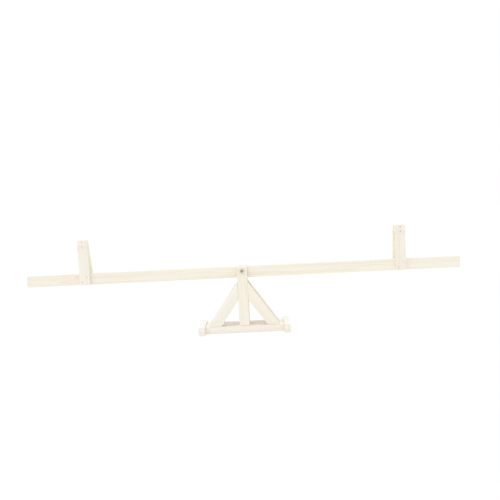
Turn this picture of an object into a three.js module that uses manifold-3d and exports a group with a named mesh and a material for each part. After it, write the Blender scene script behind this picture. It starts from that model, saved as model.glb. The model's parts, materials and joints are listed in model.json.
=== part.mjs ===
// A wooden garden seesaw. A level beam turns on a bolt between two braced frames, which stand on a
// flat board with a cross foot at each end. Near each end of the beam two posts hold a grip block.
// Millimetres, +Z up, +X along the beam, -Y towards the viewer. The origin is on the ground, midway
// between the feet and under the pivot.

import * as THREE from 'three';
import { mergeVertices } from 'three/addons/utils/BufferGeometryUtils.js';
import Module from 'manifold-3d';

const wasm = await Module();
wasm.setup();

// Driving sizes

const beam = { length: 3000, height: 76, thick: 48 };
const pivotHeight = 427;
const boreRise = 13;
const bolt = { shank: 16, headAcross: 27.7, headHeight: 10, nutHeight: 13, tail: 6, bevel: 1.5 };
const washer = { diameter: 33, thick: 3 };
const bushWall = 2.5;
const spacer = { diameter: 46, thick: 3 };
const frame = { width: 70, thick: 48, headRise: 27, headCorner: 5 };
const brace = { width: 70, toe: 245, lean: THREE.MathUtils.degToRad(35) };
const board = { margin: 26, thick: 45, lift: 3 };
const foot = { width: 42, height: 58, length: 242 };
const post = { width: 70, thick: 20, rise: 235, corner: 9 };
const grip = { width: 60, height: 56, corner: 7 };
const handleInset = 411;
const rearPostLean = {
  left: THREE.MathUtils.degToRad(-4.5),
  right: THREE.MathUtils.degToRad(1.5),
};

// The fine screws hold the handles and the long ones hold the stand.
const fineScrew = { head: 9, headDepth: 3, shank: 4.5, length: 40, point: 6, sunk: 0.5 };
const longScrew = { head: 11, headDepth: 4, shank: 6, length: 80, point: 8, sunk: 0.5 };
const beamScrew = { side: 16, rise: 19 };
const gripScrewDrops = [13, 43];
const footScrewInset = 30;
const braceScrewDrop = 58;

// The gap kept round a turning or inserted piece, and how far a cutting tool runs past a surface.
const clearance = 0.3;
const overrun = 4;

const roundSides = 32;
const screwSides = 10;
const hexSides = 6;
const cornerSteps = 5;

// Places worked out from those sizes

const beamMiddle = pivotHeight - boreRise;
const frameInner = beam.thick / 2 + clearance + spacer.thick;
const frameOuter = frameInner + frame.thick;
const frameMiddle = (frameInner + frameOuter) / 2;
const boardTop = board.lift + board.thick;
const boardEnd = brace.toe + board.margin;
const footEnd = boardEnd + foot.width;
const outerEdgeTop = boardTop + (brace.toe - frame.width / 2) / Math.tan(brace.lean);
const innerToe = brace.toe - brace.width / Math.cos(brace.lean);
const innerEdgeTop = boardTop + (innerToe - frame.width / 2) / Math.tan(brace.lean);
const boreDiameter = bolt.shank + 2 * clearance;
const bushDiameter = boreDiameter + 2 * bushWall;
const handlePlace = beam.length / 2 - handleInset;
const postOuter = beam.thick / 2 + post.thick;
const postTop = beam.height / 2 + post.rise;

const front = new THREE.Vector3(0, -1, 0);
const rear = new THREE.Vector3(0, 1, 0);
const down = new THREE.Vector3(0, 0, -1);

// Materials

function timber(colour) {
  return new THREE.MeshStandardMaterial({ color: colour, roughness: 0.72, metalness: 0 });
}

function steel(colour, roughness) {
  return new THREE.MeshStandardMaterial({ color: colour, roughness, metalness: 0.85 });
}

const beamTimber = () => timber('#f6efe1');
const frameTimber = () => timber('#f5eee0');
const boardTimber = () => timber('#faf3e4');
const handleTimber = () => timber('#f4ecdc');
const darkSteel = () => steel('#4d463d', 0.55);
const zincSteel = () => steel('#b8bab8', 0.4);
const gripScrewFinish = { left: zincSteel, right: darkSteel };

// Solids

// A closed geometry as a solid that can be cut or joined.
function solid(geometry) {
  const plain = geometry.clone();
  plain.deleteAttribute('normal');
  plain.deleteAttribute('uv');
  const merged = mergeVertices(plain);
  return new wasm.Manifold(new wasm.Mesh({
    numProp: 3,
    vertProperties: new Float32Array(merged.attributes.position.array),
    triVerts: new Uint32Array(merged.index.array),
  }));
}

function geometryOf(made) {
  const mesh = made.getMesh();
  const geometry = new THREE.BufferGeometry();
  geometry.setAttribute('position', new THREE.BufferAttribute(mesh.vertProperties, 3));
  geometry.setIndex(new THREE.BufferAttribute(mesh.triVerts, 1));
  geometry.computeVertexNormals();
  return geometry;
}

function cut(geometry, tools) {
  return geometryOf(tools.reduce((left, tool) => left.subtract(solid(tool)), solid(geometry)));
}

function box(low, high) {
  const size = new THREE.Vector3().subVectors(high, low);
  const middle = new THREE.Vector3().addVectors(low, high).multiplyScalar(1 / 2);
  return new THREE.BoxGeometry(size.x, size.y, size.z).translate(middle.x, middle.y, middle.z);
}

// An outline in X and Z, carried along Y from low to high.
function slab(outline, low, high) {
  const geometry = new THREE.ExtrudeGeometry(new THREE.Shape(outline), {
    depth: high - low,
    bevelEnabled: false,
  });
  return geometry.rotateX(Math.PI / 2).translate(0, high, 0);
}

// A rectangle whose two upper corners are round.
function roundTopped(width, low, high, corner) {
  const shape = new THREE.Shape();
  shape.moveTo(-width / 2, low);
  shape.lineTo(width / 2, low);
  shape.absarc(width / 2 - corner, high - corner, corner, 0, Math.PI / 2);
  shape.absarc(corner - width / 2, high - corner, corner, Math.PI / 2, Math.PI);
  return shape.getPoints(cornerSteps);
}

// A profile of radius and height, turned about an axis through a point.
function turned(profile, sides, point, axis) {
  const geometry = new THREE.LatheGeometry(profile.map(([r, h]) => new THREE.Vector2(r, h)), sides);
  const turn = new THREE.Quaternion().setFromUnitVectors(new THREE.Vector3(0, 1, 0), axis);
  return geometry.applyQuaternion(turn).translate(point.x, point.y, point.z);
}

// A plain rod across the beam, centred at the given height.
function crossRod(diameter, low, high, height) {
  const profile = [[0, 0], [diameter / 2, 0], [diameter / 2, high - low], [0, high - low]];
  return turned(profile, roundSides, new THREE.Vector3(0, low, height), rear);
}

function ring(outer, inner, low, high, height) {
  return cut(crossRod(outer, low, high, height), [
    crossRod(inner, low - overrun, high + overrun, height),
  ]);
}

// A countersunk screw whose head faces along the axis. The point lies on the wood's surface.
function screwBody(kind, surface, axis) {
  const shank = kind.shank / 2;
  const profile = [
    [0, -kind.length],
    [shank, kind.point - kind.length],
    [shank, -kind.headDepth],
    [kind.head / 2, 0],
    [0, 0],
  ];
  const seat = surface.clone().addScaledVector(axis, -kind.sunk);
  return turned(profile, screwSides, seat, axis);
}

// The hole for that screw: the same form, wider and deeper by the clearance, and open outwards.
function screwHole(kind, surface, axis) {
  const shank = kind.shank / 2 + clearance;
  const head = kind.head / 2 + clearance;
  const profile = [
    [0, -kind.length - clearance],
    [shank, kind.point - kind.length - clearance],
    [shank, -kind.headDepth - clearance],
    [head, -clearance],
    [head, kind.sunk + overrun],
    [0, kind.sunk + overrun],
  ];
  const seat = surface.clone().addScaledVector(axis, -kind.sunk);
  return turned(profile, screwSides, seat, axis);
}

function mesh(name, geometry, material) {
  const made = new THREE.Mesh(geometry, material);
  made.name = name;
  return made;
}

const holeFor = (screw) => screwHole(screw.kind, screw.surface, screw.axis);

function screwMesh(screw, finish) {
  return mesh(screw.name, screwBody(screw.kind, screw.surface, screw.axis), finish());
}

// Screw places. Each screw has a name, a kind, a point on the wood's surface and a way out.

const frontFace = { place: 'front', axis: front, sign: -1 };
const rearFace = { place: 'rear', axis: rear, sign: 1 };
const faces = [frontFace, rearFace];
const sides = [
  { place: 'left', sign: -1 },
  { place: 'right', sign: 1 },
];

// How far a post has leant sideways at a height above the beam's middle. Front posts stand square.
function leanAt(handle, face, height) {
  return face.place === 'rear' ? height * Math.tan(rearPostLean[handle.place]) : 0;
}

// Two screws at opposite corners hold each post to the beam, handed so that front and rear miss.
function beamScrews(handle, face) {
  return sides.map(({ place, sign }) => {
    const height = -sign * face.sign * beamScrew.rise;
    const along = leanAt(handle, face, height) + sign * beamScrew.side;
    return {
      name: `${handle.place}_${face.place}_post_screw_${place}`,
      kind: fineScrew,
      surface: new THREE.Vector3(along, face.sign * postOuter, height),
      axis: face.axis,
    };
  });
}

// Two screws, one above the other, hold each post to the grip block.
function gripScrews(handle, face) {
  return gripScrewDrops.map((drop, index) => {
    const height = postTop - drop;
    return {
      name: `${handle.place}_${face.place}_grip_screw_${index + 1}`,
      kind: fineScrew,
      surface: new THREE.Vector3(leanAt(handle, face, height), face.sign * postOuter, height),
      axis: face.axis,
    };
  });
}

// Two screws run through each foot into the end of the board.
function footScrews(side) {
  return faces.map(({ place, sign }) => ({
    name: `${side.place}_foot_screw_${place}`,
    kind: longScrew,
    surface: new THREE.Vector3(
      side.sign * footEnd,
      sign * (frameOuter - footScrewInset),
      board.lift + board.thick / 2,
    ),
    axis: new THREE.Vector3(side.sign, 0, 0),
  }));
}

// One screw comes up through the board into each upright.
function uprightScrew(face) {
  return {
    name: `${face.place}_upright_screw`,
    kind: longScrew,
    surface: new THREE.Vector3(0, face.sign * frameMiddle, board.lift),
    axis: down,
  };
}

// One screw comes up through the board into each brace.
function toeScrew(face, side) {
  return {
    name: `${face.place}_${side.place}_toe_screw`,
    kind: longScrew,
    surface: new THREE.Vector3(
      side.sign * (brace.toe + innerToe) / 2,
      face.sign * frameMiddle,
      board.lift,
    ),
    axis: down,
  };
}

// One screw runs square to each brace's outer edge, through the brace and into the upright.
function braceScrew(face, side) {
  const height = outerEdgeTop - braceScrewDrop;
  const along = brace.toe - (height - boardTop) * Math.tan(brace.lean);
  return {
    name: `${face.place}_${side.place}_brace_screw`,
    kind: longScrew,
    surface: new THREE.Vector3(side.sign * along, face.sign * frameMiddle, height),
    axis: new THREE.Vector3(side.sign * Math.cos(brace.lean), 0, Math.sin(brace.lean)),
  };
}

// The screws that run in the board.
function boardScrews() {
  return [
    ...faces.map(uprightScrew),
    ...faces.flatMap((face) => sides.map((side) => toeScrew(face, side))),
    ...sides.flatMap(footScrews),
  ];
}

// The beam and what turns with it, round the beam's middle. The bolt runs a little above that.

function beamMesh() {
  const blank = box(
    new THREE.Vector3(-beam.length / 2, -beam.thick / 2, -beam.height / 2),
    new THREE.Vector3(beam.length / 2, beam.thick / 2, beam.height / 2),
  );
  const bore = crossRod(
    bushDiameter + 2 * clearance,
    -beam.thick / 2 - overrun,
    beam.thick / 2 + overrun,
    boreRise,
  );
  const holes = sides.flatMap((handle) => faces.flatMap((face) => (
    beamScrews(handle, face)
      .map((screw) => holeFor(screw).translate(handle.sign * handlePlace, 0, 0))
  )));
  return mesh('beam', cut(blank, [bore, ...holes]), beamTimber());
}

function bushMesh() {
  const tube = ring(bushDiameter, boreDiameter, -beam.thick / 2, beam.thick / 2, boreRise);
  return mesh('pivot_bush', tube, zincSteel());
}

// A post that leans is sheared sideways in its own plane, so that its two ends stay level.
function postMesh(handle, face) {
  const outline = roundTopped(post.width, -beam.height / 2, postTop, post.corner)
    .map((p) => new THREE.Vector2(p.x + leanAt(handle, face, p.y), p.y));
  const flanks = [face.sign * beam.thick / 2, face.sign * postOuter].sort((a, b) => a - b);
  const screws = [...beamScrews(handle, face), ...gripScrews(handle, face)];
  return mesh(
    `${handle.place}_${face.place}_post`,
    cut(slab(outline, ...flanks), screws.map(holeFor)),
    handleTimber(),
  );
}

// The grip block fills the space between the posts, and runs askew where the rear post leans.
function gripMesh(handle) {
  const outline = roundTopped(grip.width, postTop - grip.height, postTop, grip.corner);
  const block = slab(outline, -beam.thick / 2, beam.thick / 2);
  const askew = leanAt(handle, rearFace, postTop - grip.height / 2) / beam.thick;
  const points = block.attributes.position;
  for (let i = 0; i < points.count; i += 1) {
    points.setX(i, points.getX(i) + askew * (points.getY(i) + beam.thick / 2));
  }
  const screws = faces.flatMap((face) => gripScrews(handle, face));
  return mesh(`${handle.place}_grip`, cut(block, screws.map(holeFor)), handleTimber());
}

function handleGroup(handle) {
  const made = new THREE.Group();
  made.position.x = handle.sign * handlePlace;
  made.add(gripMesh(handle));
  for (const face of faces) {
    made.add(postMesh(handle, face));
    made.add(...beamScrews(handle, face).map((screw) => screwMesh(screw, zincSteel)));
    made.add(...gripScrews(handle, face).map((screw) => screwMesh(screw, gripScrewFinish[handle.place])));
  }
  return made;
}

function beamGroup() {
  const made = new THREE.Group();
  made.position.z = beamMiddle;
  made.add(beamMesh(), bushMesh());
  made.add(...sides.map(handleGroup));
  return made;
}

// The pivot bolt and its rings, which stay with the stand

// A hexagon with a bevelled rim, from its seat outwards along the axis.
function hexagon(height, seat, axis) {
  const corner = bolt.headAcross / 2;
  const profile = [
    [0, 0],
    [corner, 0],
    [corner, height - bolt.bevel],
    [corner - bolt.bevel, height],
    [0, height],
  ];
  return turned(profile, hexSides, new THREE.Vector3(0, seat, pivotHeight), axis);
}

function boltMesh() {
  const under = -frameOuter - washer.thick;
  const end = frameOuter + washer.thick + bolt.nutHeight + bolt.tail;
  const head = hexagon(bolt.headHeight, under, front);
  const shank = crossRod(bolt.shank, under - bolt.headHeight / 2, end, pivotHeight);
  return mesh('pivot_bolt', geometryOf(solid(head).add(solid(shank))), darkSteel());
}

function nutMesh() {
  const low = frameOuter + washer.thick;
  const high = low + bolt.nutHeight;
  const thread = crossRod(boreDiameter, low - overrun, high + overrun, pivotHeight);
  const block = hexagon(bolt.nutHeight, low, rear);
  return mesh('pivot_nut', cut(block, [thread]), darkSteel());
}

function pivotRings() {
  const rings = [
    ['bolt_washer', washer.diameter, -frameOuter - washer.thick, -frameOuter],
    ['nut_washer', washer.diameter, frameOuter, frameOuter + washer.thick],
    ['front_spacer', spacer.diameter, -frameInner, spacer.thick - frameInner],
    ['rear_spacer', spacer.diameter, frameInner - spacer.thick, frameInner],
  ];
  return rings.map(([name, outer, low, high]) => (
    mesh(name, ring(outer, boreDiameter, low, high, pivotHeight), zincSteel())
  ));
}

// The stand

function frameSpan(face) {
  return [face.sign * frameInner, face.sign * frameOuter].sort((a, b) => a - b);
}

function uprightMesh(face) {
  const top = pivotHeight + frame.headRise;
  const outline = roundTopped(frame.width, boardTop, top, frame.headCorner);
  const [low, high] = frameSpan(face);
  const bore = crossRod(boreDiameter, low - overrun, high + overrun, pivotHeight);
  const screws = [uprightScrew(face), ...sides.map((side) => braceScrew(face, side))];
  return mesh(
    `${face.place}_upright`,
    cut(slab(outline, low, high), [bore, ...screws.map(holeFor)]),
    frameTimber(),
  );
}

// A brace is cut upright against the upright's side and level on the board.
function braceMesh(face, side) {
  const corners = [
    [frame.width / 2, outerEdgeTop],
    [frame.width / 2, innerEdgeTop],
    [innerToe, boardTop],
    [brace.toe, boardTop],
  ];
  const outline = corners.map(([along, height]) => new THREE.Vector2(side.sign * along, height));
  const screws = [toeScrew(face, side), braceScrew(face, side)];
  return mesh(
    `${face.place}_${side.place}_brace`,
    cut(slab(outline, ...frameSpan(face)), screws.map(holeFor)),
    frameTimber(),
  );
}

function boardMesh() {
  const blank = box(
    new THREE.Vector3(-boardEnd, -frameOuter, board.lift),
    new THREE.Vector3(boardEnd, frameOuter, boardTop),
  );
  return mesh('base_board', cut(blank, boardScrews().map(holeFor)), boardTimber());
}

function footMesh(side) {
  const [left, right] = [boardEnd, footEnd].map((along) => side.sign * along).sort((a, b) => a - b);
  const blank = box(
    new THREE.Vector3(left, -foot.length / 2, 0),
    new THREE.Vector3(right, foot.length / 2, foot.height),
  );
  return mesh(`${side.place}_foot`, cut(blank, footScrews(side).map(holeFor)), frameTimber());
}

function standGroup() {
  const made = new THREE.Group();
  made.add(boardMesh(), boltMesh(), nutMesh(), ...pivotRings());
  made.add(...faces.map(uprightMesh), ...sides.map(footMesh));
  made.add(...boardScrews().map((screw) => screwMesh(screw, zincSteel)));
  for (const face of faces) {
    made.add(...sides.map((side) => braceMesh(face, side)));
    made.add(...sides.map((side) => screwMesh(braceScrew(face, side), zincSteel)));
  }
  return made;
}

const group = new THREE.Group();
group.add(standGroup(), beamGroup());

export default group;
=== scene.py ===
"""The finish of a wooden garden seesaw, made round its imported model.

Metres, +Z up, +X along the beam, -Y towards the viewer. Every timber is a new mesh with eased edges,
a slightly uneven surface, drying checks and real screw holes. The steel parts are turned and threaded.
"""

import json
import math
import random
from collections import namedtuple

import bmesh
import bpy
import numpy as np
from mathutils import Matrix, Vector, noise


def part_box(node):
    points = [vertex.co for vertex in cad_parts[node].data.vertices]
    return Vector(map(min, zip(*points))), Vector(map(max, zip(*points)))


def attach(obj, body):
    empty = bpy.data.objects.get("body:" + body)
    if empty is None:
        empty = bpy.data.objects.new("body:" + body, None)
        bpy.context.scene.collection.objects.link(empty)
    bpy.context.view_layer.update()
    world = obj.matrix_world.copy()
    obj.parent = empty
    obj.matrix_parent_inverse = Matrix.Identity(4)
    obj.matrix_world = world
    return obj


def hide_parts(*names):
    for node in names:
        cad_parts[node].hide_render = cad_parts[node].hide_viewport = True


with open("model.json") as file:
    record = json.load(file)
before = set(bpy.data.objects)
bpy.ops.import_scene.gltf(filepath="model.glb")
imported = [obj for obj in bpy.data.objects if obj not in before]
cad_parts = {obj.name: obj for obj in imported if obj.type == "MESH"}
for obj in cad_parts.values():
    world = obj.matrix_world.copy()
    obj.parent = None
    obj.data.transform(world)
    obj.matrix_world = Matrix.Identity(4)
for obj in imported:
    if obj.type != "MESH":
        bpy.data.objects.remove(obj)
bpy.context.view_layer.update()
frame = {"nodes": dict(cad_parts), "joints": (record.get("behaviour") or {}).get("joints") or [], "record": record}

MM = 0.001
X, Y, Z = Vector((1, 0, 0)), Vector((0, 1, 0)), Vector((0, 0, 1))

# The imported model's pivot, its small parts and the timbers that the bolt runs through

PIVOT = Vector(next(j["pos_m"] for j in frame["joints"] if j["name"] == "beam_pivot"))
TO_FRONT = Z.rotation_difference(-Y).to_matrix().to_4x4()
SCREWS = sorted(node for node in frame["nodes"] if "_screw" in node)
RINGS = ("bolt_washer", "nut_washer", "front_spacer", "rear_spacer", "pivot_bush")
BORED = ("beam", "front_upright", "rear_upright")

# How the model's points are rounded, how near two places in the model and in a cut mesh count as one,
# and how near a slice may pass a point before it goes through that point instead

PLACE_DIGITS = 6
SAME_PLACE = MM / 100
NEARLY_ONE = MM / 1000
SLICE_CLEAR = MM / 20

# The camera, worked out from the edges of the object in the photograph

EYE = Vector((0.108, -3.119, 0.7995))
PITCH = math.radians(4.36)
YAW = math.radians(-0.85)
ROLL = math.radians(2.85)
LENS = 32.45
SENSOR = 36

# The light: an even white room and one wide soft lamp, high up at the left

ROOM_LIGHT = 0.935
LAMP_LEFT = math.radians(60)
LAMP_UP = math.radians(64)
LAMP_SPREAD = math.radians(50)
LAMP_STRENGTH = 0.65
FLOOR_SIDE = 400
FLOOR_DROP = 0.3 * MM
FLOOR_COLOUR = (0.92, 0.92, 0.915, 1)
FLOOR_SEEN = (0.2, 0.2, 0.2, 1)
FLOOR_GLOW = 0.8
WHITE = (1, 1, 1, 1)

# The wood, from early to late growth, and its knots. Colours are linear.

EARLY_WOOD = (0.934, 0.884, 0.778)
LATE_WOOD = (0.833, 0.756, 0.617)
KNOT_LIGHT = (0.740, 0.660, 0.520)
KNOT_DARK = (0.540, 0.450, 0.330)
LIGHT_BOARD = (1.03, 1.04, 1.08)
LIGHT_FEET = (1.04, 1.06, 1.10)
UPRIGHT_TONE = (1.022, 1.020, 1.018)
BRACE_TONE = {"left": (1.01, 1.03, 1.07), "right": (1, 1, 1)}
# Post tones. The paler rear posts are painted light, lifting the shade that the front posts cast on them.
POST_TONE_AND_PAINTED_LIGHT = {"left_front": (1, 1.01, 1.045), "right_front": (1, 1, 1),
             "left_rear": (1.06, 1.08, 1.115), "right_rear": (1.06, 1.075, 1.09)}
RING = 5 * MM
STRAY = 16 * MM
YEAR_STRAY = 1.6
RING_PROFILE = ((0, 0.05), (0.45, 0.12), (0.8, 0.7), (0.94, 1), (1, 0.15))
KNOT_PROFILE = ((0, 0.1), (0.6, 0.3), (0.9, 1), (1, 0.3))
END_GRAIN = (0.55, 0.85)
LATE_SHARE = (0.6, 0.75)
SEED_REACH = 40

# Where the rings of each kind of timber are centred in its section, up its face and out of its face from
# the middle

PITH = {
    "beam": (-14 * MM, -66 * MM),
    "board": (-70 * MM, -20 * MM),
    "foot": (-12 * MM, 30 * MM),
    "grip": (50 * MM, -30 * MM),
    "upright": (-20 * MM, -48 * MM),
    "brace": (10 * MM, -52 * MM),
    "post": (-8 * MM, -70 * MM),
}

# How fine each pattern in the wood is: waves a metre along the grain, up the face and out of it

DRIFT_WAVES = (1.1, 5, 5)
YEAR_WAVES = 70
FIBRE_WAVES = (9, 320, 320)
PORE_WAVES = (45, 1500, 1500)
STREAK_WAVES = (1.3, 34, 34)
BROAD_WAVES = (0.8, 7, 7)

# How strong each is: where its noise sets in, and how much it darkens the wood or raises its surface

NOISE_RANGE = (0.3, 0.7)
FIBRE_RANGE = (0.42, 0.72)
FIBRE_SHARE = 0.35
PORE_RANGE = (0.3, 0.5)
PORE_TONE = 0.97
STREAK_TONE = (0.10, 0.95)
BROAD_TONE = (0.08, 0.96)
END_TONE = 0.98
LATE_RELIEF = 0.10
FIBRE_RELIEF = 0.14
PORE_RELIEF = 0.05
KNOT_RELIEF = 0.12
WOOD_BUMP = 0.7
WOOD_ROUGHNESS = (0.16, 0.58)
WOOD_SPECULAR = 0.3

# A knot's place along its timber, the point of the section where it ends and its radius. A whole one
# doesn't end there but runs out of the face.

Knot = namedtuple("Knot", "along through radius whole")
ENDLESS = 10
KNOT_RADIUS = (5 * MM, 10 * MM)
KNOT_SPREAD_SHARE = 0.85
KNOT_STRENGTH = 0.75
BEAM_KNOT_STRENGTH = 0.35
KNOT_DRAWN_OUT = (0.72, 1, 1)
KNOT_FRAY_WAVES = (70, 70, 70)
KNOT_FRAY = 0.5
KNOT_EDGE = (1.12, 0.88)
KNOT_SURROUND = (3.8, 0.7)
KNOT_RINGS = 3.4
KNOT_FADE = 3 * MM
KNOT_HALO = 0.25
BEAM_KNOTS = (
    Knot(-1150 * MM, (21 * MM, 24 * MM), 7 * MM, True),
    Knot(-610 * MM, (18 * MM, -4 * MM), 8 * MM, False),
    Knot(330 * MM, (-16 * MM, 6 * MM), 7 * MM, False),
    Knot(870 * MM, (10 * MM, -2 * MM), 9 * MM, False),
)

# Rubbed arrises, painted top light, a greyer tone near the ground and painted shade under the grips

WORN_WOOD = (0.810, 0.745, 0.630)
# Painted top light: the paler tones that upward faces take, as if more light fell on them from above
TOP_LIT_WOOD = (0.885, 0.855, 0.780)
TOP_LIT_BOARD = (0.930, 0.900, 0.840)
TOP_LIT_FEET = (0.900, 0.895, 0.885)
# A darker, greyer tone towards the ground
NEAR_GROUND_WOOD = (0.660, 0.650, 0.550)
# Painted shade: a darker band on the posts just under the grips
GRIP_SHADE_WOOD = (0.780, 0.740, 0.640)

# Where each of them starts and is complete, and its least and its greatest share

TOP_LIGHT_SLOPE = (0.35, 0.9)
TOP_LIGHT_RANGE = (0.25, 0.75)
TOP_LIGHT_SHARE = (0.5, 0.85)
NEAR_GROUND_HEIGHT = 22 * MM
NEAR_GROUND_SHARE = (0.05, 0.2)
GRIP_SHADE_DROP = (38 * MM, 66 * MM)
GRIP_SHADE_FADE = 9 * MM
GRIP_SHADE_SHARE = (0.2, 0.5)
RUB_RANGE = (0.35, 0.95)
RUB_SHARE = 0.45
RUB_POLISH = 0.16

# The steel, bright and dull: dark for the bolt and its nut, rubbed paler on the four screws that hands
# pass over, and zinc plate for the rest

DARK_STEEL = ((0.58, 0.49, 0.37), (0.37, 0.315, 0.22))
RUBBED_SCREW = ((0.84, 0.80, 0.69), (0.64, 0.60, 0.50))
ZINC_STEEL = ((0.97, 0.945, 0.875), (0.86, 0.835, 0.76))
RUST = (0.30, 0.15, 0.07)
RUBBED_STEEL = (0.66, 0.64, 0.59)

# How fine and how strong the steel's mottle, stains, scratches and rubbed edges are

MOTTLE_WAVES = (160, 160, 160)
STAIN_WAVES = (420, 420, 420)
SCRATCH_WAVES = (2600, 300, 900)
STAIN_RANGE = (0.62, 0.78)
STEEL_RUB_START = 0.4
STEEL_RUB_RANGE = (0.2, 0.7)
STEEL_RUB_SHARE = 0.5
STEEL_RUB_POLISH = 0.1
STEEL_METALLIC = 0.92
RUST_METALLIC_LOSS = 0.6
MOTTLE_ROUGHNESS = (0.22, -0.1)
STAIN_RELIEF = 0.05
SCRATCH_RELIEF = 0.02
STEEL_BUMP = 0.6

# How a timber's arrises are eased and how far its faces stray inwards

LONG_EASE = 2.4 * MM
END_EASE = 0.7 * MM
HAND_EASE = 3.5 * MM
EASE_STEPS = 3
SHARP = math.radians(35)
SMOOTH_LIMIT = math.radians(42)
FLAT_WITHIN = math.radians(2)
ALONG_GRAIN = 0.97
BOX_FACES = 6
SURFACE_DEPTH = 0.08 * MM
SWELL_DEPTH = 0.35 * MM
SWELL_WAVE = Vector((180, 45, 45)) * MM
DENT_DEPTH = 1.1 * MM
DENT_WAVE = 30 * MM
DENT_START = 0.3
SUPPORT = 0.8 * MM
LONG_SPACING = 16 * MM
CROSS_SPACING = 9 * MM
BROAD_FACE = 100 * MM * MM
HOLE_GAP = 0.25 * MM
OVERRUN = 4 * MM
HOLE_SIDES = 32
WEAR_GAIN = 6

# Drying checks in the end grain

CHECK_LENGTH = (9 * MM, 24 * MM)
CHECK_WIDTH = (0.5 * MM, 1.0 * MM)
CHECK_DEPTH = (5 * MM, 16 * MM)
CHECK_INSET_SHARE = 0.6
CHECK_TIP_SHARE = 0.2

# The steel parts. A share is of the radius there, but for the plain share of a screw's shank and the
# share of its head's height that the recess is deep.

STEEL_SIDES = 48
SCREW_SIDES = 32
HEX_HALF = math.pi / 6
HEX_CHAMFER = math.radians(27)
CHAMFER_SHARE = 0.96
BOLT_PITCH = 2 * MM
BOLT_THREAD = 1.2 * MM
BOLT_THREAD_RUN = 34 * MM
BOLT_EASE = MM / 2
UNDERHEAD_SHARES = (0.93, 0.95)
DISH_SHARES = (0.62, 0.56)
DISH_DEPTH = MM / 4
NUT_MOUTH = MM
NUT_THREAD_START = MM / 5
NUT_THREAD_EASE = MM / 3
THREAD_STEPS = 5
THREAD_SLOPE = 2.4
FINE_PITCH = 2.4 * MM
LONG_PITCH = 3.2 * MM
FINE_SHANK = 2.6 * MM
RIM_BAND = MM / 10
PROFILE_DIGITS = 2
SCREW_ROOT_SHARE = 0.66
SCREW_TIP_SHARE = 0.08
SCREW_NECK_SHARE = 0.82
PLAIN_SHARE = 0.4
HEAD_EASE = MM / 5
HEAD_LIP = MM / 3
HEAD_ROUND = (MM / 8, MM / 20)
RECESS_CORE_SHARE = 0.16
RECESS_ARM_SHARE = 0.36
RECESS_ARM_POWER = 6
RECESS_MOUTH_SHARE = 1.06
RECESS_FLOOR_SHARE = 0.7
RECESS_EASE = MM / 10
RECESS_DEPTH_SHARE = 0.8
RING_EASE = 0.5 * MM


# Places and points

def unique_points(node):
    """The node's vertices, each place once."""
    places = np.array([v.co for v in frame["nodes"][node].data.vertices])
    return np.unique(places.round(PLACE_DIGITS), axis=0)


def body_of(node):
    """The name of the body that holds a node."""
    for body, nodes in frame["record"]["behaviour"]["bodies"].items():
        if node in nodes:
            return body
    raise ValueError(node)


def slot_of(node):
    """The material slot that the record gives a node."""
    for row in frame["record"]["subparts"]:
        if row["node"] == node:
            return row["material_slot"]
    raise ValueError(node)


def overlap(first, second):
    """True if the boxes of two nodes meet."""
    low_a, high_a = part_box(first)
    low_b, high_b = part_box(second)
    return all(low_a[i] < high_b[i] and low_b[i] < high_a[i] for i in range(3))


def link(obj):
    bpy.context.scene.collection.objects.link(obj)
    return obj


def spread(bounds, generator):
    return generator.uniform(*bounds)


# Shader trees

def opaque(colour):
    """A colour of three numbers with a fourth for its alpha. Anything else stays as it is."""
    return (*colour, 1) if isinstance(colour, tuple) and len(colour) == 3 else colour


class Tree:
    """Adds nodes to a shader tree. A value is a number, a colour, a vector or another node's output."""

    def __init__(self, tree):
        self.tree = tree

    def feed(self, socket, value):
        if isinstance(value, bpy.types.NodeSocket):
            self.tree.links.new(value, socket)
        else:
            socket.default_value = value

    def add(self, kind, values=(), **settings):
        node = self.tree.nodes.new(kind)
        for name, value in settings.items():
            setattr(node, name, value)
        for key, value in dict(values).items():
            self.feed(node.inputs[key], value)
        return node

    def maths(self, operation, *values, clamp=False):
        node = self.add("ShaderNodeMath", enumerate(values), operation=operation, use_clamp=clamp)
        return node.outputs[0]

    def vector(self, operation, *values):
        node = self.add("ShaderNodeVectorMath", enumerate(values), operation=operation)
        return node.outputs["Value" if operation in ("DOT_PRODUCT", "LENGTH") else "Vector"]

    def parts(self, vector):
        return self.add("ShaderNodeSeparateXYZ", {0: vector}).outputs

    def scale(self, vector, factor):
        values = {"Vector": vector, "Scale": factor}
        return self.add("ShaderNodeVectorMath", values, operation="SCALE").outputs["Vector"]

    def noise(self, place, stretch, detail=2, roughness=0.5):
        """Noise with one wave to each length 1 / stretch along the three axes."""
        values = {
            "Vector": self.vector("MULTIPLY", place, stretch),
            "Scale": 1,
            "Detail": detail,
            "Roughness": roughness,
        }
        return self.add("ShaderNodeTexNoise", values).outputs

    def remap(self, value, low, high, to_low=0, to_high=1):
        """Carries low to high onto to_low to to_high along a smooth step."""
        values = {0: value, 1: low, 2: high, 3: to_low, 4: to_high}
        node = self.add("ShaderNodeMapRange", values, interpolation_type="SMOOTHSTEP")
        return node.outputs["Result"]

    def mix(self, share, low, high):
        values = {0: share, 6: opaque(low), 7: opaque(high)}
        return self.add("ShaderNodeMix", values, data_type="RGBA").outputs[2]

    def ramp(self, value, stops):
        node = self.add("ShaderNodeValToRGB", {0: value})
        elements = node.color_ramp.elements
        while len(elements) < len(stops):
            elements.new(0.5)
        for element, (place, shade) in zip(elements, stops):
            element.position = place
            element.color = (shade, shade, shade, 1)
        return node.outputs["Color"]

    def wear(self):
        """How worn the surface is, from the mesh's own measure of its edges."""
        return self.add("ShaderNodeAttribute", attribute_name="wear").outputs["Fac"]


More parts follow.
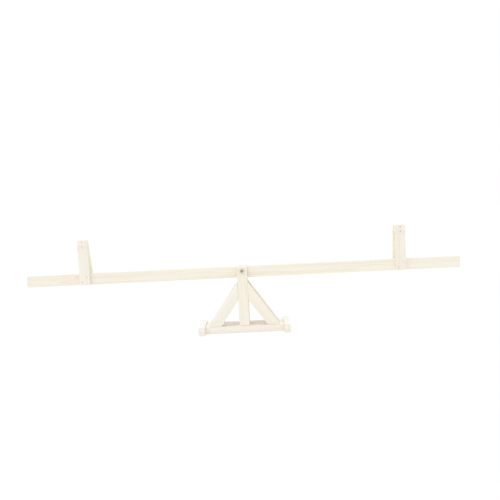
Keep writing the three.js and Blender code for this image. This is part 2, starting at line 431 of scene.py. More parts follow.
def new_material(name):
    """A material with its shader and output and nothing else yet."""
    made = bpy.data.materials.new(name)
    made.use_nodes = True
    made.node_tree.nodes.clear()
    tree = Tree(made.node_tree)
    shader = tree.add("ShaderNodeBsdfPrincipled")
    output = tree.add("ShaderNodeOutputMaterial")
    tree.feed(output.inputs["Surface"], shader.outputs["BSDF"])
    return made, tree, shader


# Wood as a material

def knot_group():
    """A branch out from the pith. It gives its own mask, how near it is, and its rings.

    Reach is how far from the pith the branch died, past which clear wood has grown over it.
    """
    group = bpy.data.node_groups.new("knot", "ShaderNodeTree")
    for name in ("Place", "Axis"):
        group.interface.new_socket(name=name, in_out="INPUT", socket_type="NodeSocketVector")
    for name in ("Along", "Radius", "Reach"):
        group.interface.new_socket(name=name, in_out="INPUT", socket_type="NodeSocketFloat")
    for name in ("Mask", "Near", "Rings"):
        group.interface.new_socket(name=name, in_out="OUTPUT", socket_type="NodeSocketFloat")
    tree = Tree(group)
    given = tree.add("NodeGroupInput").outputs
    made = tree.add("NodeGroupOutput")
    start = tree.add("ShaderNodeCombineXYZ", {"X": given["Along"]}).outputs[0]
    away = tree.vector("SUBTRACT", given["Place"], start)
    ahead = tree.vector("DOT_PRODUCT", away, given["Axis"])
    off = tree.vector("SUBTRACT", away, tree.scale(given["Axis"], ahead))
    drawn_out = tree.vector("LENGTH", tree.vector("MULTIPLY", off, KNOT_DRAWN_OUT))
    ragged = tree.noise(away, KNOT_FRAY_WAVES, detail=1)["Fac"]
    share = tree.maths("DIVIDE", drawn_out, given["Radius"])
    share = tree.maths("ADD", share, tree.maths("MULTIPLY_ADD", ragged, KNOT_FRAY, -KNOT_FRAY / 2))
    past = tree.maths("SUBTRACT", ahead, given["Reach"])
    alive = tree.maths("MULTIPLY", tree.remap(ahead, 0, KNOT_FADE), tree.remap(past, KNOT_FADE, 0))
    tree.feed(made.inputs["Mask"], tree.maths("MULTIPLY", tree.remap(share, *KNOT_EDGE), alive))
    tree.feed(made.inputs["Near"], tree.maths("MULTIPLY", tree.remap(share, *KNOT_SURROUND), alive))
    tree.feed(made.inputs["Rings"], tree.maths("FRACT", tree.maths("MULTIPLY", share, KNOT_RINGS)))
    return group


def own_place(tree, timber, where):
    """The place in the timber's own axes: along the grain, up its face and out of its face."""
    values = {
        "Vector": where["Object"],
        "Location": timber.centre,
        "Rotation": timber.turn.to_euler(),
    }
    return tree.add("ShaderNodeMapping", values, vector_type="TEXTURE").outputs["Vector"]


def add_knots(tree, timber, from_pith, group):
    """The outputs and the radius of each knot."""
    made = []
    for knot in timber.knots:
        out = Vector((0, knot.through[0] - timber.pith[0], knot.through[1] - timber.pith[1]))
        values = {
            "Place": from_pith,
            "Axis": out.normalized(),
            "Along": knot.along,
            "Radius": knot.radius,
            "Reach": ENDLESS if knot.whole else out.length,
        }
        node = tree.add("ShaderNodeGroup", node_tree=group)
        for name, value in values.items():
            tree.feed(node.inputs[name], value)
        made.append((node.outputs, knot.radius))
    return made


def late_growth(tree, varied, from_pith, knots):
    """How far each point is into late growth, round a pith that wanders and round the knots."""
    drift = tree.noise(varied, DRIFT_WAVES, detail=1)["Color"]
    drift = tree.vector("SUBTRACT", drift, (0.5, 0.5, 0.5))
    wandering = tree.vector("ADD", from_pith, tree.vector("MULTIPLY", drift, (0, STRAY, STRAY)))
    radius = tree.vector("LENGTH", tree.vector("MULTIPLY", wandering, (0, 1, 1)))
    for outputs, size in knots:
        radius = tree.maths("MULTIPLY_ADD", outputs["Near"], size, radius)
    values = {"W": tree.maths("MULTIPLY", radius, YEAR_WAVES), "Scale": 1}
    years = tree.add("ShaderNodeTexNoise", values, noise_dimensions="1D").outputs["Fac"]
    phase = tree.maths("MULTIPLY_ADD", years, YEAR_STRAY, tree.maths("DIVIDE", radius, RING))
    return tree.ramp(tree.maths("FRACT", phase), RING_PROFILE)


def painted_light_and_ground_tint(tree, timber, where, place, colour, streaks):
    """The colour with painted top light, greyer towards the ground, and painted shade under the grips."""
    # Painted top light: upward faces are made paler, as if more light fell on them from above
    upwards = tree.remap(tree.parts(where["Normal"])["Z"], *TOP_LIGHT_SLOPE)
    top_lit = tree.maths("MULTIPLY", upwards, tree.remap(streaks, *TOP_LIGHT_RANGE, *TOP_LIGHT_SHARE))
    colour = tree.mix(top_lit, colour, timber.top_light)
    # Darker and greyer towards the ground
    low_down = tree.remap(tree.parts(where["Object"])["Z"], NEAR_GROUND_HEIGHT, 0)
    near_ground = tree.maths("MULTIPLY", low_down, tree.remap(streaks, *NOISE_RANGE, *NEAR_GROUND_SHARE))
    colour = tree.mix(near_ground, colour, NEAR_GROUND_WOOD)
    # Painted shade: a darker band on the posts just under the grips
    if timber.grip_shade:
        drop = tree.maths("SUBTRACT", timber.high.x, tree.parts(place)["X"])
        start, end = GRIP_SHADE_DROP
        grip_shade = tree.maths("MULTIPLY", tree.remap(drop, start - GRIP_SHADE_FADE, start + GRIP_SHADE_FADE),
                          tree.remap(drop, end + GRIP_SHADE_FADE, end - GRIP_SHADE_FADE))
        grip_shade = tree.maths("MULTIPLY", grip_shade, tree.remap(streaks, *NOISE_RANGE, *GRIP_SHADE_SHARE))
        colour = tree.mix(grip_shade, colour, GRIP_SHADE_WOOD)
    return colour


def wood_material(timber, group):
    """Pale softwood: rings round the pith, fibre, knots, worn arrises and darker end grain."""
    made, tree, shader = new_material(f"{timber.node}_wood")
    where = tree.add("ShaderNodeTexCoord").outputs
    place = own_place(tree, timber, where)
    facing_end = tree.maths("ABSOLUTE", tree.vector("DOT_PRODUCT", where["Normal"], timber.grain))
    end_grain = tree.remap(facing_end, *END_GRAIN)
    varied = tree.vector("ADD", place, timber.seed)
    from_pith = tree.vector("ADD", place, (0, -timber.pith[0], -timber.pith[1]))
    knots = add_knots(tree, timber, from_pith, group)
    late = late_growth(tree, varied, from_pith, knots)
    fibre = tree.noise(varied, FIBRE_WAVES, detail=3, roughness=0.6)["Fac"]
    pores = tree.noise(varied, PORE_WAVES, detail=1)["Fac"]
    streaks = tree.noise(varied, STREAK_WAVES, detail=2)["Fac"]
    broad = tree.noise(varied, BROAD_WAVES, detail=1)["Fac"]

    share = tree.maths("MULTIPLY", late, tree.remap(end_grain, 0, 1, *LATE_SHARE))
    ringed = tree.mix(share, EARLY_WOOD, LATE_WOOD)
    fibrous = tree.mix(tree.remap(fibre, *FIBRE_RANGE, 0, FIBRE_SHARE), ringed, LATE_WOOD)
    tone = tree.maths("MULTIPLY_ADD", streaks, *STREAK_TONE)
    tone = tree.maths("MULTIPLY", tone, tree.maths("MULTIPLY_ADD", broad, *BROAD_TONE))
    tone = tree.maths("MULTIPLY", tone, tree.remap(end_grain, 0, 1, 1, END_TONE))
    tone = tree.maths("MULTIPLY", tone, tree.remap(pores, *PORE_RANGE, PORE_TONE, 1))
    colour = tree.vector("MULTIPLY", tree.scale(fibrous, tone), timber.tone)
    colour = painted_light_and_ground_tint(tree, timber, where, place, colour, streaks)

    for outputs, _ in knots:
        heart = tree.mix(tree.ramp(outputs["Rings"], KNOT_PROFILE), KNOT_LIGHT, KNOT_DARK)
        colour = tree.mix(tree.maths("MULTIPLY", outputs["Mask"], timber.knot_strength), colour, heart)
        halo = tree.maths("MULTIPLY", outputs["Near"], KNOT_HALO * timber.knot_strength)
        colour = tree.mix(halo, colour, KNOT_LIGHT)

    patches = tree.maths("ADD", streaks, tree.remap(broad, *NOISE_RANGE))
    rubbed = tree.remap(tree.maths("MULTIPLY", tree.wear(), patches), *RUB_RANGE)
    colour = tree.mix(tree.maths("MULTIPLY", rubbed, RUB_SHARE), colour, WORN_WOOD)
    tree.feed(shader.inputs["Base Color"], colour)

    roughness = tree.maths("MULTIPLY_ADD", fibre, *WOOD_ROUGHNESS)
    tree.feed(shader.inputs["Roughness"], tree.maths("MULTIPLY_ADD", rubbed, -RUB_POLISH, roughness))
    shader.inputs["Specular IOR Level"].default_value = WOOD_SPECULAR

    height = tree.maths("MULTIPLY", late, LATE_RELIEF)
    height = tree.maths("MULTIPLY_ADD", fibre, FIBRE_RELIEF, height)
    height = tree.maths("MULTIPLY_ADD", pores, PORE_RELIEF, height)
    for outputs, _ in knots:
        height = tree.maths("MULTIPLY_ADD", outputs["Mask"], KNOT_RELIEF, height)
    bump = tree.add("ShaderNodeBump", {"Height": height, "Distance": MM, "Strength": WOOD_BUMP})
    tree.feed(shader.inputs["Normal"], bump.outputs["Normal"])
    return made


# Timbers as meshes

class Timber:
    """One length of wood. Its own axes run along the grain, up its face and out of its face.

    pith is where its rings are centred in the section, from the middle of the section. checks is how
    many drying checks each end has, and grip_shade says that a band of painted shade lies on it under a grip.
    """

    def __init__(self, node, grain, pith, facing=-Y, ease=LONG_EASE, knots=(), knot_count=0, checks=0,
                 knot_strength=KNOT_STRENGTH, tone=(1, 1, 1), top_light=TOP_LIT_WOOD, grip_shade=False):
        self.node, self.grain, self.pith, self.facing = node, grain, pith, facing
        self.ease, self.checks, self.tone, self.top_light = ease, checks, tone, top_light
        self.knot_strength, self.grip_shade = knot_strength, grip_shade
        low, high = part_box(node)
        self.centre = (low + high) / 2
        upwards = facing.cross(grain).normalized()
        self.turn = Matrix((grain, upwards, facing)).transposed()
        own = (unique_points(node) - np.array(self.centre)) @ np.array(self.turn)
        self.low, self.high = Vector(own.min(0)), Vector(own.max(0))
        self.random = random.Random(node)
        self.seed = Vector([self.random.uniform(-SEED_REACH, SEED_REACH) for _ in range(3)])
        self.knots = tuple(knots) + tuple(self.random_knot() for _ in range(knot_count))

    def random_knot(self):
        """A knot that ends inside the timber, so that it shows on the side of the pith alone."""
        along = self.random.uniform(self.low.x, self.high.x) * KNOT_SPREAD_SHARE
        through = (self.random.uniform(self.low.y, self.high.y) * KNOT_SPREAD_SHARE, 0)
        return Knot(along, through, spread(KNOT_RADIUS, self.random), False)

    def own(self, point):
        return self.turn.transposed() @ (point - self.centre)

    def place(self, own):
        return self.centre + self.turn @ own


def hull_of(node):
    """The node's outer form without its holes, with one face to each flat."""
    bm = bmesh.new()
    for point in unique_points(node):
        bm.verts.new(point)
    bmesh.ops.remove_doubles(bm, verts=bm.verts, dist=SAME_PLACE)
    bmesh.ops.convex_hull(bm, input=bm.verts)
    loose = [v for v in bm.verts if not v.link_faces]
    bmesh.ops.delete(bm, geom=loose, context="VERTS")
    bmesh.ops.dissolve_limit(bm, angle_limit=FLAT_WITHIN, verts=bm.verts, edges=bm.edges)
    bmesh.ops.recalc_face_normals(bm, faces=bm.faces)
    return bm


def ease_edges(bm, timber):
    """Rounds the arrises along the grain well and the sawn ends slightly. A round top is eased alike."""
    def runs_along(edge):
        reach = (edge.verts[0].co - edge.verts[1].co).normalized()
        return abs(reach.dot(timber.grain)) > ALONG_GRAIN

    rounded = len(bm.faces) > BOX_FACES
    passes = [(timber.ease, lambda edge: rounded or runs_along(edge)), (END_EASE, lambda edge: True)]
    for width, chosen in passes:
        edges = [e for e in bm.edges if e.calc_face_angle(0) > SHARP and chosen(e)]
        if edges:
            bmesh.ops.bevel(bm, geom=edges, offset=width, offset_type="OFFSET", segments=EASE_STEPS,
                            profile=0.5, affect="EDGES", clamp_overlap=False)


def slice_at(bm, point, normal):
    """Cuts every face that crosses a plane in two along it."""
    whole = bm.verts[:] + bm.edges[:] + bm.faces[:]
    bmesh.ops.bisect_plane(bm, geom=whole, dist=SLICE_CLEAR, plane_co=point, plane_no=normal)


def slice_grid(bm, timber, flats):
    """Cuts the faces into small ones, with a line close inside each arris to hold the flats flat."""
    for point, normal in flats:
        slice_at(bm, point - normal * (timber.ease + SUPPORT), normal)
    spacings = (LONG_SPACING, CROSS_SPACING, CROSS_SPACING)
    for axis in (1, 2, 0):
        low, high = timber.low[axis] + timber.ease + SUPPORT, timber.high[axis] - timber.ease - SUPPORT
        count = max(1, round((high - low) / spacings[axis]))
        for step in range(1, count):
            own = Vector((0, 0, 0))
            own[axis] = low + (high - low) * step / count
            slice_at(bm, timber.place(own), timber.turn.col[axis])


def flat_faces(bm):
    """A point and the normal of each broad face."""
    return [(f.calc_center_median(), f.normal.copy()) for f in bm.faces if f.calc_area() > BROAD_FACE]


def make_uneven(bm, timber, flats):
    """Moves the surface inwards by a slow swell, and the arrises by a dent here and there."""
    bm.normal_update()
    moves = []
    for vertex in bm.verts:
        own = timber.own(vertex.co)
        wave = Vector([own[i] / SWELL_WAVE[i] for i in range(3)]) + timber.seed
        depth = SURFACE_DEPTH + SWELL_DEPTH * (0.5 + 0.5 * noise.noise(wave))
        insides = sorted((point - vertex.co).dot(normal) for point, normal in flats)
        if insides[1] < timber.ease:
            dent = noise.noise(own / DENT_WAVE + timber.seed) - DENT_START
            depth += DENT_DEPTH * max(0, dent) / (1 - DENT_START)
        moves.append(vertex.normal * depth)
    for vertex, move in zip(bm.verts, moves):
        vertex.co -= move


def add_turned(bm, profile, place):
    """Adds a closed turned body. profile is radius and height from one end of the axis to the other."""
    rings = []
    for radius, height in profile:
        angles = [math.tau * i / HOLE_SIDES for i in range(HOLE_SIDES)] if radius else [0]
        rings.append([
            bm.verts.new(place @ Vector((radius * math.cos(a), radius * math.sin(a), height)))
            for a in angles
        ])
    for low, high in zip(rings, rings[1:]):
        for i in range(HOLE_SIDES):
            j = (i + 1) % HOLE_SIDES
            corners = (low[i % len(low)], low[j % len(low)], high[j % len(high)], high[i % len(high)])
            bm.faces.new(list(dict.fromkeys(corners)))


def add_check(bm, timber, end, generator):
    """Adds the blade of a drying check: a thin wedge that runs outwards from the pith."""
    middle = [
        generator.uniform(timber.low[i], timber.high[i]) * CHECK_INSET_SHARE for i in (1, 2)
    ]
    outwards = Vector((0, middle[0] - timber.pith[0], middle[1] - timber.pith[1])).normalized()
    sideways = X.cross(outwards)
    length, width, depth = (spread(b, generator) for b in (CHECK_LENGTH, CHECK_WIDTH, CHECK_DEPTH))
    face = timber.high.x if end > 0 else timber.low.x
    start = Vector((face + end * OVERRUN, *middle))
    inner = Vector((face - end * depth, *middle))
    grown = 1 + OVERRUN / depth
    rim = [
        start - outwards * length / 2 * grown,
        start - sideways * width / 2 * grown,
        start + outwards * length / 2 * grown,
        start + sideways * width / 2 * grown,
    ]
    corners = [bm.verts.new(timber.place(p)) for p in rim]
    shares = (-CHECK_TIP_SHARE, CHECK_TIP_SHARE)
    tips = [bm.verts.new(timber.place(inner + outwards * length * s)) for s in shares]
    bm.faces.new(corners)
    for flank in (corners[1], corners[3]):
        bm.faces.new((corners[0], flank, tips[0]))
        bm.faces.new((flank, tips[1], tips[0]))
        bm.faces.new((flank, corners[2], tips[1]))


def cutters_for(timber):
    """Everything that is cut out of a timber: screw holes, the bore of the pivot and drying checks."""
    bm = bmesh.new()
    for screw in SCREWS:
        if overlap(screw, timber.node):
            place, profile = screw_form(screw)
            top = profile[-1][0] + HOLE_GAP
            hole = [(0, profile[0][1] - HOLE_GAP)]
            hole += [(radius + HOLE_GAP, height - HOLE_GAP) for radius, height in profile[1:]]
            hole += [(top, OVERRUN), (0, OVERRUN)]
            add_turned(bm, hole, place)
    if timber.node in BORED:
        low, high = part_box(timber.node)
        radius, _ = ring_radii(timber.node)
        place = Matrix.Translation(PIVOT) @ Z.rotation_difference(Y).to_matrix().to_4x4()
        profile = [(0, low.y - OVERRUN), (radius, low.y - OVERRUN), (radius, high.y + OVERRUN),
                   (0, high.y + OVERRUN)]
        add_turned(bm, profile, place)
    for end in (-1, 1):
        for _ in range(timber.checks):
            add_check(bm, timber, end, timber.random)
    bmesh.ops.recalc_face_normals(bm, faces=bm.faces)
    return bm


def mesh_from(bm, name):
    mesh = bpy.data.meshes.new(name)
    bm.to_mesh(mesh)
    bm.free()
    return mesh


def cut_away(mesh, tool):
    """The mesh less the tool, both of which are used up."""
    kept = link(bpy.data.objects.new("kept", mesh))
    cutter = link(bpy.data.objects.new("cutter", tool))
    modifier = kept.modifiers.new("cut", "BOOLEAN")
    modifier.operation = "DIFFERENCE"
    modifier.solver = "EXACT"
    modifier.object = cutter
    made = bpy.data.meshes.new_from_object(kept.evaluated_get(bpy.context.evaluated_depsgraph_get()))
    for obj in (kept, cutter):
        bpy.data.objects.remove(obj)
    bm = bmesh.new()
    bm.from_mesh(made)
    bmesh.ops.remove_doubles(bm, verts=bm.verts, dist=NEARLY_ONE)
    bmesh.ops.dissolve_degenerate(bm, edges=bm.edges, dist=NEARLY_ONE)
    return mesh_from(bm, mesh.name)


def mark_wear(mesh):
    """Writes how convex the surface is at each vertex, which is where it wears."""
    count = len(mesh.vertices)
    places = np.empty(count * 3)
    normals = np.empty(count * 3)
    ends = np.empty(len(mesh.edges) * 2, dtype=np.int32)
    mesh.vertices.foreach_get("co", places)
    mesh.vertices.foreach_get("normal", normals)
    mesh.edges.foreach_get("vertices", ends)
    places, normals = places.reshape(-1, 3), normals.reshape(-1, 3)
    first, second = ends.reshape(-1, 2).T
    reach = places[first] - places[second]
    reach /= np.maximum(np.linalg.norm(reach, axis=1), NEARLY_ONE)[:, None]
    bend = np.bincount(first, (normals[first] * reach).sum(1), count)
    bend -= np.bincount(second, (normals[second] * reach).sum(1), count)
    number = np.bincount(np.concatenate([first, second]), minlength=count)
    values = np.clip(bend / np.maximum(number, 1) * WEAR_GAIN, 0, 1)
    layer = mesh.attributes.new("wear", "FLOAT", "POINT")
    layer.data.foreach_set("value", values.astype(np.float32))


def finish_piece(node, mesh, material):
    """Shades a mesh, gives it its material and puts it in the place of its node."""
    mesh.shade_smooth()
    mesh.set_sharp_from_angle(angle=SMOOTH_LIMIT)
    mark_wear(mesh)
    mesh.materials.clear()
    mesh.materials.append(material)
    obj = link(bpy.data.objects.new(f"{node}_finish", mesh))
    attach(obj, body_of(node))
    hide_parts(node)


def make_timber(timber, group):
    bm = hull_of(timber.node)
    flats = flat_faces(bm)
    ease_edges(bm, timber)
    slice_grid(bm, timber, flats)
    make_uneven(bm, timber, flats)
    mesh = mesh_from(bm, timber.node + "_wood")
    tool = mesh_from(cutters_for(timber), "tool")
    if tool.vertices:
        mesh = cut_away(mesh, tool)
    finish_piece(timber.node, mesh, wood_material(timber, group))


# Steel

def screw_form(node):
    """Where a screw stands, with +Z out of its head, and its profile from the tip to the head."""
    points = [Vector(p) for p in unique_points(node)]
    middle = sum(points, Vector()) / len(points)
    tip = max(points, key=lambda p: (p - middle).length)
    reach = max((p - tip).length for p in points)
    rim = [p for p in points if (p - tip).length > reach - RIM_BAND]
    head = sum(rim, Vector()) / len(rim)
    axis = (head - tip).normalized()
    pairs = set()
    for p in points:
        height = (p - head).dot(axis)
        radius = (p - head - axis * height).length
        pairs.add(tuple(round(value / MM, PROFILE_DIGITS) * MM for value in (radius, height)))
    profile = sorted((pair for pair in pairs if pair != (0, 0)), key=lambda pair: pair[1])
    place = Matrix.Translation(head) @ Z.rotation_difference(axis).to_matrix().to_4x4()
    return place, profile


def ring_radii(node):
    """The least and the greatest distance of a node's points from the pivot axis."""
    points = unique_points(node)
    away = np.hypot(points[:, 0] - PIVOT.x, points[:, 2] - PIVOT.z)
    return away.min(), away.max()


def loft(rings, place, closed=False):
    """A mesh through rings of equally many points. Unless closed on itself, it has a fan at each end."""
    bm = bmesh.new()
    rows = [[bm.verts.new(place @ Vector(p)) for p in ring] for ring in rings]
    pairs = list(zip(rows, rows[1:]))
    if closed:
        pairs.append((rows[-1], rows[0]))
    for low, high in pairs:
        for i in range(len(low)):
            j = (i + 1) % len(low)
            bm.faces.new((low[i], low[j], high[j], high[i]))
    if not closed:
        for row in (rows[0], rows[-1]):
            middle = bm.verts.new(sum((v.co for v in row), Vector()) / len(row))
            for i in range(len(row)):
                bm.faces.new((row[i], row[(i + 1) % len(row)], middle))
    bmesh.ops.recalc_face_normals(bm, faces=bm.faces)
    return mesh_from(bm, "steel")


def ring_of(sides, radius, height):
    """One ring of points. radius and height may be numbers or functions of the angle."""
    points = []
    for i in range(sides):
        angle = math.tau * i / sides
        far = radius(angle) if callable(radius) else radius
        high = height(angle) if callable(height) else height
        points.append((far * math.cos(angle), far * math.sin(angle), high))
    return points


def thread_radius(height, pitch, root, crest):
    """The radius of a thread at a height, as a function of the angle."""
    def radius(angle):
        phase = (height / pitch - angle / math.tau) % 1
        return root + (crest - root) * max(0, 1 - abs(phase - 0.5) * THREAD_SLOPE)
    return radius


def threaded(sides, low, high, pitch, root, crest, taper=None):
    """Rings of a thread between two heights. taper scales the radii at each height."""
    count = max(2, round((high - low) / pitch * THREAD_STEPS))
    rings = []
    for step in range(count + 1):
        height = low + (high - low) * step / count
        share = taper(height) if taper else 1
        rings.append(ring_of(sides, thread_radius(height, pitch, root * share, crest * share), height))
    return rings


def recess_radius(head, share):
    """The outline of a cross recess in a screw's head."""
    def radius(angle):
        arm = abs(math.cos(2 * angle)) ** RECESS_ARM_POWER
        return head * share * (RECESS_CORE_SHARE + RECESS_ARM_SHARE * arm)
    return radius


def make_screw(node, material):
    place, profile = screw_form(node)
    (_, tip), (shank, point), (_, neck), (head, _) = profile
    pitch = FINE_PITCH if shank < FINE_SHANK else LONG_PITCH
    root = shank * SCREW_ROOT_SHARE
    plain_end = tip + (neck - tip) * (1 - PLAIN_SHARE)
    depth = neck * RECESS_DEPTH_SHARE

    def taper(height):
        return max(SCREW_TIP_SHARE, min(1, (height - tip) / (point - tip)))

    rings = threaded(SCREW_SIDES, tip, plain_end, pitch, root, shank, taper)
    rings += [
        ring_of(SCREW_SIDES, radius, height)
        for radius, height in (
            (shank * SCREW_NECK_SHARE, plain_end + pitch / 2),
            (shank * SCREW_NECK_SHARE, neck),
            (shank, neck + HEAD_EASE),
            (head - HEAD_EASE, -HEAD_LIP),
            (head, -HEAD_EASE),
            (head - HEAD_ROUND[0], -HEAD_ROUND[1]),
            (head - HEAD_LIP, 0),
        )
    ]
    for share, height in ((RECESS_MOUTH_SHARE, 0), (1, -RECESS_EASE), (RECESS_FLOOR_SHARE, depth)):
        rings.append(ring_of(SCREW_SIDES, recess_radius(head, share), height))
    finish_piece(node, loft(rings, place), material)


def hexagon(apothem):
    """The radius of a hexagon with its corners on the X axis of its own plane."""
    def radius(angle):
        return apothem / math.cos((angle + math.pi / 2) % (2 * HEX_HALF) - HEX_HALF)
    return radius


def chamfered(apothem, rim):
    """The height of a hexagon's chamfered edge, which falls from the rim towards the corners."""
    outline = hexagon(apothem)
    fall = math.tan(HEX_CHAMFER)

    def height(angle):
        return rim - math.copysign(1, rim) * (outline(angle) - apothem * CHAMFER_SHARE) * fall
    return height


def make_bolt(material):
    """The pivot bolt, with +Z of its own axes out of its head and zero under the head."""
    low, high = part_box("pivot_bolt")
    washer_low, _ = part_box("bolt_washer")
    _, corner = ring_radii("pivot_bolt")
    apothem = corner * math.cos(HEX_HALF)
    shank = ring_radii("pivot_nut")[0] - HOLE_GAP
    head = washer_low.y - low.y
    end = washer_low.y - high.y
    place = Matrix.Translation(Vector((PIVOT.x, washer_low.y, PIVOT.z))) @ TO_FRONT
    root = shank - BOLT_THREAD
    rings = [
        ring_of(STEEL_SIDES, root - BOLT_EASE, end),
        ring_of(STEEL_SIDES, root, end + BOLT_EASE),
    ]
    rings += threaded(STEEL_SIDES, end + 2 * BOLT_EASE, end + BOLT_THREAD_RUN, BOLT_PITCH, root, shank)
    rings += [
        ring_of(STEEL_SIDES, radius, height)
        for radius, height in (
            (shank, end + BOLT_THREAD_RUN + 2 * BOLT_EASE),
            (shank, -BOLT_EASE),
            (shank + BOLT_EASE, 0),
            (apothem * UNDERHEAD_SHARES[0], 0),
            (apothem * UNDERHEAD_SHARES[1], BOLT_EASE),
            (hexagon(apothem), BOLT_EASE),
            (hexagon(apothem), 2 * BOLT_EASE),
            (hexagon(apothem), chamfered(apothem, head)),
            (apothem * CHAMFER_SHARE, head),
            (apothem * DISH_SHARES[0], head),
            (apothem * DISH_SHARES[1], head - DISH_DEPTH),
        )
    ]
    finish_piece("pivot_bolt", loft(rings, place), material)


def make_nut(material):
    """The nut, chamfered on both faces, with its thread."""
    low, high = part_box("pivot_nut")
    inner, corner = ring_radii("pivot_nut")
    apothem = corner * math.cos(HEX_HALF)
    half = (high.y - low.y) / 2
    place = Matrix.Translation(Vector((PIVOT.x, (low.y + high.y) / 2, PIVOT.z))) @ TO_FRONT
    root = inner - BOLT_THREAD + NUT_THREAD_EASE
    rings = [
        ring_of(STEEL_SIDES, apothem * CHAMFER_SHARE, -half),
        ring_of(STEEL_SIDES, hexagon(apothem), chamfered(apothem, -half)),
        ring_of(STEEL_SIDES, hexagon(apothem), chamfered(apothem, half)),
        ring_of(STEEL_SIDES, apothem * CHAMFER_SHARE, half),
        ring_of(STEEL_SIDES, inner + NUT_MOUTH, half),
        ring_of(STEEL_SIDES, inner, half - NUT_MOUTH),
    ]
    run = half - NUT_MOUTH - NUT_THREAD_START
    rings += reversed(threaded(STEEL_SIDES, -run, run, BOLT_PITCH, root, inner))
    rings += [
        ring_of(STEEL_SIDES, inner, NUT_MOUTH - half),
        ring_of(STEEL_SIDES, inner + NUT_MOUTH, -half),
    ]
    finish_piece("pivot_nut", loft(rings, place, closed=True), material)


def make_ring(node, material):
    """A washer, spacer or bush with eased rims."""
    low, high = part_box(node)
    inner, outer = ring_radii(node)
    half = (high.y - low.y) / 2
    ease = min(RING_EASE, half / 2)
    outline = []
    for radius, height, turn in (
        (outer - ease, half - ease, 0),
        (inner + ease, half - ease, 1),
        (inner + ease, ease - half, 2),
        (outer - ease, ease - half, 3),
    ):
        for step in range(EASE_STEPS + 1):
            angle = math.pi / 2 * (turn + step / EASE_STEPS)
            outline.append((radius + ease * math.cos(angle), height + ease * math.sin(angle)))
    place = Matrix.Translation(Vector((PIVOT.x, (low.y + high.y) / 2, PIVOT.z))) @ TO_FRONT
    rings = [ring_of(STEEL_SIDES, radius, height) for radius, height in outline]
    finish_piece(node, loft(rings, place, closed=True), material)


def steel_material(name, shades, roughness, stained):
    """Weathered steel: mottled tone, fine scratches, lighter rubbed edges and brown stains."""
    made, tree, shader = new_material(name)
    place = tree.add("ShaderNodeTexCoord").outputs["Object"]
    mottle = tree.noise(place, MOTTLE_WAVES, detail=4, roughness=0.6)["Fac"]
    stain = tree.noise(place, STAIN_WAVES, detail=3, roughness=0.7)["Fac"]
    scratch = tree.noise(place, SCRATCH_WAVES, detail=2)["Fac"]
    patches = tree.maths("ADD", mottle, STEEL_RUB_START)
    rubbed = tree.remap(tree.maths("MULTIPLY", tree.wear(), patches), *STEEL_RUB_RANGE)
    bright, dull = shades
    colour = tree.mix(tree.remap(mottle, *NOISE_RANGE), dull, bright)
    rusty = tree.remap(stain, *STAIN_RANGE, 0, stained)
    colour = tree.mix(rusty, colour, RUST)
    colour = tree.mix(tree.maths("MULTIPLY", rubbed, STEEL_RUB_SHARE), colour, RUBBED_STEEL)
    tree.feed(shader.inputs["Base Color"], colour)
    metallic = tree.maths("MULTIPLY_ADD", rusty, -RUST_METALLIC_LOSS, STEEL_METALLIC)
    tree.feed(shader.inputs["Metallic"], metallic)
    grain, offset = MOTTLE_ROUGHNESS
    level = tree.maths("MULTIPLY_ADD", mottle, grain, roughness + offset)
    level = tree.maths("MULTIPLY_ADD", rubbed, -STEEL_RUB_POLISH, level)
    tree.feed(shader.inputs["Roughness"], level)
    height = tree.maths("MULTIPLY", stain, STAIN_RELIEF)
    height = tree.maths("MULTIPLY_ADD", scratch, SCRATCH_RELIEF, height)
    bump = tree.add("ShaderNodeBump", {"Height": height, "Distance": MM, "Strength": STEEL_BUMP})
    tree.feed(shader.inputs["Normal"], bump.outputs["Normal"])
    return made


# What the seesaw is made of

def lean_of(node):
    """The direction from the middle of a timber's lowest points to the middle of its highest."""
    points = unique_points(node)
    ends = []
    for level in (points[:, 2].min(), points[:, 2].max()):
        row = points[np.abs(points[:, 2] - level) < SAME_PLACE]
        ends.append((Vector(row.min(0)) + Vector(row.max(0))) / 2)
    return (ends[1] - ends[0]).normalized()


def brace_grain(node):
    """The direction of a brace's outer edge."""
    low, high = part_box(node)
    side = 1 if low.x + high.x > 0 else -1
    points = unique_points(node)
    top = points[points[:, 2] > high.z - SAME_PLACE][0]
    toe = points[np.abs(points[:, 0] * side).argmax()]
    reach = Vector((top[0] - toe[0], 0, top[2] - toe[2]))
    return reach.normalized()


def timbers():
    made = [
        # The top_light colours are painted top light on upward faces
        Timber("beam", X, PITH["beam"], knots=BEAM_KNOTS, checks=3, knot_strength=BEAM_KNOT_STRENGTH),
        Timber("base_board", X, PITH["board"], knot_count=2, tone=LIGHT_BOARD, top_light=TOP_LIT_BOARD),
    ]
    for side in ("left", "right"):
        made.append(Timber(f"{side}_foot", Y, PITH["foot"], facing=X, checks=3, tone=LIGHT_FEET,
                           top_light=TOP_LIT_FEET))
        made.append(Timber(f"{side}_grip", X, PITH["grip"], ease=HAND_EASE))
    for face in ("front", "rear"):
        made.append(Timber(f"{face}_upright", Z, PITH["upright"], knot_count=1, checks=1,
                           tone=UPRIGHT_TONE))
        for side in ("left", "right"):
            brace = f"{face}_{side}_brace"
            made.append(Timber(brace, brace_grain(brace), PITH["brace"], knot_count=1,
                               tone=BRACE_TONE[side]))
            # The rear posts' paler tone is painted light in the shade behind the front posts
            post = f"{side}_{face}_post"
            # The posts carry a band of painted shade under the grips
            made.append(Timber(post, lean_of(post), PITH["post"], checks=1,
                               tone=POST_TONE_AND_PAINTED_LIGHT[f"{side}_{face}"], grip_shade=True))
    return made


# The room

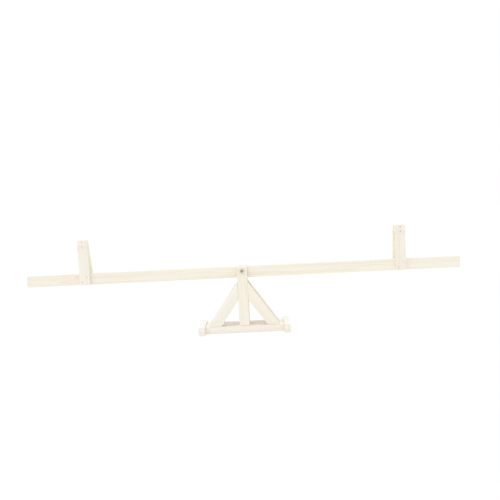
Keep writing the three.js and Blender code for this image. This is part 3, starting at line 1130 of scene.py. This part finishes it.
def make_camera():
    forward = Vector((
        math.sin(YAW) * math.cos(PITCH), math.cos(YAW) * math.cos(PITCH), -math.sin(PITCH),
    ))
    level = Vector((math.cos(YAW), -math.sin(YAW), 0))
    upright = level.cross(forward)
    right = level * math.cos(ROLL) - upright * math.sin(ROLL)
    up = upright * math.cos(ROLL) + level * math.sin(ROLL)
    data = bpy.data.cameras.new("camera")
    data.lens = LENS
    data.sensor_width = SENSOR
    camera = link(bpy.data.objects.new("camera", data))
    camera.matrix_world = Matrix.Translation(EYE) @ Matrix((right, up, -forward)).transposed().to_4x4()
    bpy.context.scene.camera = camera


def make_lamp():
    data = bpy.data.lights.new("lamp", "SUN")
    data.angle = LAMP_SPREAD
    data.energy = LAMP_STRENGTH
    lamp = link(bpy.data.objects.new("lamp", data))
    towards = Vector((
        -math.sin(LAMP_LEFT) * math.cos(LAMP_UP),
        -math.cos(LAMP_LEFT) * math.cos(LAMP_UP),
        math.sin(LAMP_UP),
    ))
    lamp.rotation_euler = towards.to_track_quat("Z", "Y").to_euler()


def seen_directly(tree):
    """One where a ray comes from the camera or off metal or glass, and zero where it only lights."""
    rays = tree.add("ShaderNodeLightPath").outputs
    seen = tree.maths("MAXIMUM", rays["Is Camera Ray"], rays["Is Glossy Ray"])
    return tree.maths("MAXIMUM", seen, rays["Is Transmission Ray"])


def make_room():
    """An even light from all round, which is seen as white."""
    world = bpy.data.worlds.new("room")
    world.use_nodes = True
    world.node_tree.nodes.clear()
    tree = Tree(world.node_tree)
    strength = tree.maths("MULTIPLY_ADD", seen_directly(tree), 1 - ROOM_LIGHT, ROOM_LIGHT)
    values = {"Color": WHITE, "Strength": strength}
    background = tree.add("ShaderNodeBackground", values)
    output = tree.add("ShaderNodeOutputWorld")
    tree.feed(output.inputs["Surface"], background.outputs["Background"])
    bpy.context.scene.world = world


def make_floor():
    """A pale floor that lights the object as one, and is seen as white but for a faint shadow."""
    bm = bmesh.new()
    bmesh.ops.create_grid(bm, x_segments=1, y_segments=1, size=FLOOR_SIDE / 2)
    bmesh.ops.translate(bm, verts=bm.verts, vec=-Z * FLOOR_DROP)
    mesh = mesh_from(bm, "floor")
    made, tree, shader = new_material("floor")
    seen = seen_directly(tree)
    tree.feed(shader.inputs["Base Color"], tree.mix(seen, FLOOR_COLOUR, FLOOR_SEEN))
    shader.inputs["Roughness"].default_value = 1
    shader.inputs["Specular IOR Level"].default_value = 0
    shader.inputs["Emission Color"].default_value = WHITE
    tree.feed(shader.inputs["Emission Strength"], tree.maths("MULTIPLY", seen, FLOOR_GLOW))
    mesh.materials.append(made)
    link(bpy.data.objects.new("floor", mesh))


make_camera()
make_lamp()
make_room()
make_floor()

knots = knot_group()
for timber in timbers():
    make_timber(timber, knots)

dark_steel = steel_material("dark_steel", DARK_STEEL, roughness=0.5, stained=0.5)
rubbed_steel = steel_material("rubbed_steel", RUBBED_SCREW, roughness=0.45, stained=0.3)
zinc_steel = steel_material("zinc_steel", ZINC_STEEL, roughness=0.4, stained=0.12)
for screw in SCREWS:
    make_screw(screw, rubbed_steel if slot_of(screw) == "dark_steel" else zinc_steel)
for ring in RINGS:
    make_ring(ring, zinc_steel)
make_bolt(dark_steel)
make_nut(dark_steel)

bpy.context.scene.view_settings.view_transform = "Standard"
